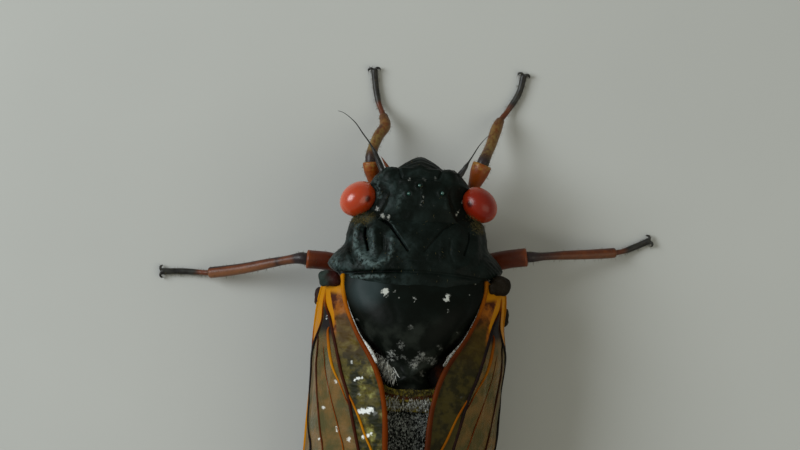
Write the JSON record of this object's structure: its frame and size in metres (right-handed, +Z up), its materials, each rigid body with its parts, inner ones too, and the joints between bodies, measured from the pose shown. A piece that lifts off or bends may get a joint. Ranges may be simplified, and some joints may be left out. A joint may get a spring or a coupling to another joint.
{
  "type": "periodical cicada",
  "caption": "Life-size periodical cicada at rest: black body, red-orange eyes, splayed legs and veined wings folded like a roof over the back.",
  "frame": {"origin": "on the floor, under the middle of the whole outline", "axes": "+Z up out of the back, -Y towards the head, +X towards the insect's left side"},
  "size_m": [0.0306, 0.047, 0.0095],
  "materials": {
    "shell": "black insect shell with a low satin sheen and fine pile",
    "eye": "glossy red-orange compound eye with a fine facet grain",
    "feeler": "black horn, satin",
    "belly": "dark brown shell with orange edges, satin",
    "band": "olive-yellow hairy band",
    "wing": "clear amber membrane with orange and brown veins",
    "hinge": "dark brown wing root, satin",
    "leg": "orange-brown leg shell, satin, darker toward the joints",
    "foot": "black-brown foot, satin"
  },
  "bodies": {
    "root": {"head": "shell", "eye_left": "eye", "eye_right": "eye", "antenna_left": "feeler", "antenna_right": "feeler", "beak": "feeler", "pronotum": "shell", "mesonotum": "shell", "metanotum": "band", "prothorax_underside": "belly", "thorax": "belly", "abdomen_front": "shell", "abdomen_middle": "shell", "abdomen_rear": "shell", "abdomen_tip": "shell", "forewing_left": "wing", "forewing_right": "wing", "hindwing_left": "wing", "hindwing_right": "wing", "wing_hinge_left": "hinge", "wing_hinge_right": "hinge", "fore_left_coxa": "belly", "fore_left_femur": "leg", "fore_left_tibia": "leg", "fore_left_tarsus": "foot", "fore_right_coxa": "belly", "fore_right_femur": "leg", "fore_right_tibia": "leg", "fore_right_tarsus": "foot", "mid_left_coxa": "belly", "mid_left_femur": "leg", "mid_left_tibia": "leg", "mid_left_tarsus": "foot", "mid_right_coxa": "belly", "mid_right_femur": "leg", "mid_right_tibia": "leg", "mid_right_tarsus": "foot", "hind_left_coxa": "belly", "hind_left_femur": "leg", "hind_left_tibia": "leg", "hind_left_tarsus": "foot", "hind_right_coxa": "belly", "hind_right_femur": "leg", "hind_right_tibia": "leg", "hind_right_tarsus": "foot"}
  },
  "joints": []
}
